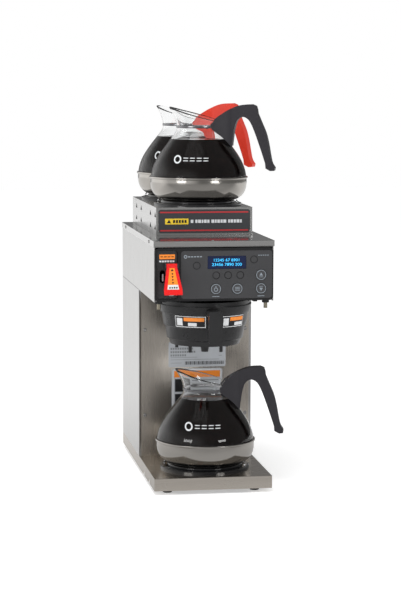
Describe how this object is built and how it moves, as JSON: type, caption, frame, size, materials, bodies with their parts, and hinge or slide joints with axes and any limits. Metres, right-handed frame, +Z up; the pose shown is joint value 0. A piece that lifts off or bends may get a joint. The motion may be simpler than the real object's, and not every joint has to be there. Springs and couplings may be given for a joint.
{
  "type": "commercial coffee brewer",
  "caption": "Narrow stainless automatic coffee brewer with a slide-in funnel, hot-water faucet, keypad console, lower and upper warmers and glass decanters.",
  "frame": {"origin": "on the counter, under the middle of the base's footprint", "axes": "+X to the right of a person who faces the console, +Y to the back, +Z up"},
  "size_m": [0.2408, 0.4986, 0.6565],
  "materials": {
    "stainless": "brushed",
    "stainless_bright": "polished",
    "decanter_steel": "polished",
    "screw_steel": "satin",
    "foot_rubber": "matte",
    "console_black": "textured",
    "overlay_dark": "satin",
    "key_grey": "satin",
    "display_blue": "gloss",
    "board_green": "satin",
    "module_grey": "satin",
    "label_paper": "satin",
    "decal_dark": "satin",
    "lever_red": "gloss",
    "label_orange": "satin",
    "faucet_chrome": "polished",
    "pin_metal": "satin",
    "tube_silicone": "satin",
    "brass": "satin",
    "element": "matte",
    "ceramic_white": "satin",
    "warmer_black": "gloss",
    "funnel_black": "satin",
    "rack_wire": "polished",
    "decanter_glass": "clear",
    "handle_black": "satin",
    "handle_orange": "satin"
  },
  "bodies": {
    "brewer": {"base_pan": "stainless", "feet": "foot_rubber", "trunk_wrap": "stainless", "splash_panel": "stainless", "splash_screws": "screw_steel", "splash_labels": "label_paper", "hood_shell": "stainless", "hood_lid": "stainless_bright", "hood_screws": "screw_steel", "pin_grommets": "foot_rubber", "hood_pins": "pin_metal", "funnel_rails": "console_black", "console": "console_black", "touch_overlay": "overlay_dark", "display": "display_blue", "circuit_board": "board_green", "power_module": "module_grey", "faucet_surround": "console_black", "faucet_body": "faucet_chrome", "spray_head": "stainless_bright", "spray_tube": "tube_silicone", "tank": "stainless", "tank_lid": "stainless", "tank_heater": "element", "tank_probes": "brass", "limit_thermostat": "ceramic_white", "inlet_valve": "module_grey", "inlet_fitting": "brass", "inlet_hose": "tube_silicone", "cord_gland": "console_black", "rocker_frame": "console_black", "warmer_rings": "warmer_black", "warmer_plates": "warmer_black", "warmer_elements": "element", "warmer_housing": "stainless_bright", "housing_decal": "decal_dark"},
    "brew_funnel": {"funnel": "funnel_black", "funnel_rack": "rack_wire", "funnel_labels": "label_paper"},
    "faucet_handle": {"faucet_lever": "lever_red", "lever_label": "label_orange"},
    "button_up": {"key_up": "key_grey"},
    "button_down": {"key_down": "key_grey"},
    "button_set": {"key_set": "key_grey"},
    "button_brew": {"key_brew": "key_grey"},
    "master_switch": {"power_rocker": "overlay_dark"},
    "lower_decanter": {"lower_bowl": "decanter_glass", "lower_bottom": "decanter_steel", "lower_band": "decanter_steel", "lower_handle": "handle_black"},
    "upper_front_decanter": {"front_bowl": "decanter_glass", "front_bottom": "decanter_steel", "front_band": "decanter_steel", "front_handle": "handle_black"},
    "upper_rear_decanter": {"rear_bowl": "decanter_glass", "rear_bottom": "decanter_steel", "rear_band": "decanter_steel", "rear_handle": "handle_orange"}
  },
  "joints": [
    {"name": "funnel_slide", "type": "slide", "parent": "brewer", "child": "brew_funnel", "axis": [0, -1, 0], "range_m": [0, 0.215]},
    {"name": "faucet_pull", "type": "hinge", "parent": "brewer", "child": "faucet_handle", "pos_m": [-0.0736, -0.234, 0.391], "axis": [-1, 0, 0], "range_deg": [0, 28], "stiffness_Nm_per_rad": 0.3, "springref_deg": -17.19},
    {"name": "press_up", "type": "slide", "parent": "brewer", "child": "button_up", "axis": [0, 1, 0], "range_m": [0, 0.0008], "stiffness_N_per_m": 600, "springref_m": -0.001},
    {"name": "press_down", "type": "slide", "parent": "brewer", "child": "button_down", "axis": [0, 1, 0], "range_m": [0, 0.0008], "stiffness_N_per_m": 600, "springref_m": -0.001},
    {"name": "press_set", "type": "slide", "parent": "brewer", "child": "button_set", "axis": [0, 1, 0], "range_m": [0, 0.0008], "stiffness_N_per_m": 600, "springref_m": -0.001},
    {"name": "press_brew", "type": "slide", "parent": "brewer", "child": "button_brew", "axis": [0, 1, 0], "range_m": [0, 0.0008], "stiffness_N_per_m": 600, "springref_m": -0.001},
    {"name": "switch_rock", "type": "hinge", "parent": "brewer", "child": "master_switch", "pos_m": [0.062, 0.2225, 0.11], "axis": [1, 0, 0], "range_deg": [0, 14]},
    {"name": "lower_decanter_pull", "type": "slide", "parent": "brewer", "child": "lower_decanter", "axis": [0, -1, 0], "range_m": [0, 0.25]},
    {"name": "front_decanter_lift", "type": "slide", "parent": "brewer", "child": "upper_front_decanter", "axis": [0, 0, 1], "range_m": [0, 0.2]},
    {"name": "rear_decanter_lift", "type": "slide", "parent": "brewer", "child": "upper_rear_decanter", "axis": [0, 0, 1], "range_m": [0, 0.2]}
  ]
}
